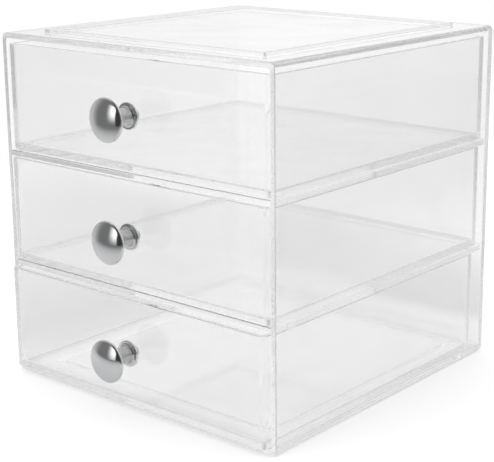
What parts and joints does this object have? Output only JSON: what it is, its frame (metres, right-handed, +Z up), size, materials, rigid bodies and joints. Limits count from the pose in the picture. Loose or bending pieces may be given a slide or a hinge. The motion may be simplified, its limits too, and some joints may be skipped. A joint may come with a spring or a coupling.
{
  "type": "drawer organizer",
  "caption": "Clear moulded tabletop organizer: a near-cubic housing with stacked open-topped drawers, each pulled by a round plated knob, for make-up and jewellery.",
  "frame": {"origin": "middle of the housing's footprint, on the underside that it stands on", "axes": "+Z up, -Y out of the open front, the way the drawers pull, +X to the right seen from the front"},
  "size_m": [0.164, 0.186, 0.1664],
  "materials": {
    "clear_plastic": "clear, polished",
    "chrome_plating": "mirror-bright plating",
    "zinc_plated_steel": "bright zinc plating"
  },
  "bodies": {
    "housing": {"housing_shell": "clear_plastic", "shelf_lower": "clear_plastic", "shelf_upper": "clear_plastic"},
    "drawer_top": {"drawer_tray_top": "clear_plastic", "knob_top": "chrome_plating", "knob_washer_top": "zinc_plated_steel", "knob_screw_top": "zinc_plated_steel"},
    "drawer_middle": {"drawer_tray_middle": "clear_plastic", "knob_middle": "chrome_plating", "knob_washer_middle": "zinc_plated_steel", "knob_screw_middle": "zinc_plated_steel"},
    "drawer_bottom": {"drawer_tray_bottom": "clear_plastic", "knob_bottom": "chrome_plating", "knob_washer_bottom": "zinc_plated_steel", "knob_screw_bottom": "zinc_plated_steel"}
  },
  "joints": [
    {"name": "drawer_top_slide", "type": "slide", "parent": "housing", "child": "drawer_top", "axis": [0, -1, 0], "range_m": [-0.0029, 0.1186]},
    {"name": "drawer_middle_slide", "type": "slide", "parent": "housing", "child": "drawer_middle", "axis": [0, -1, 0], "range_m": [-0.0044, 0.1171]},
    {"name": "drawer_bottom_slide", "type": "slide", "parent": "housing", "child": "drawer_bottom", "axis": [0, -1, 0], "range_m": [-0.0075, 0.114]}
  ]
}
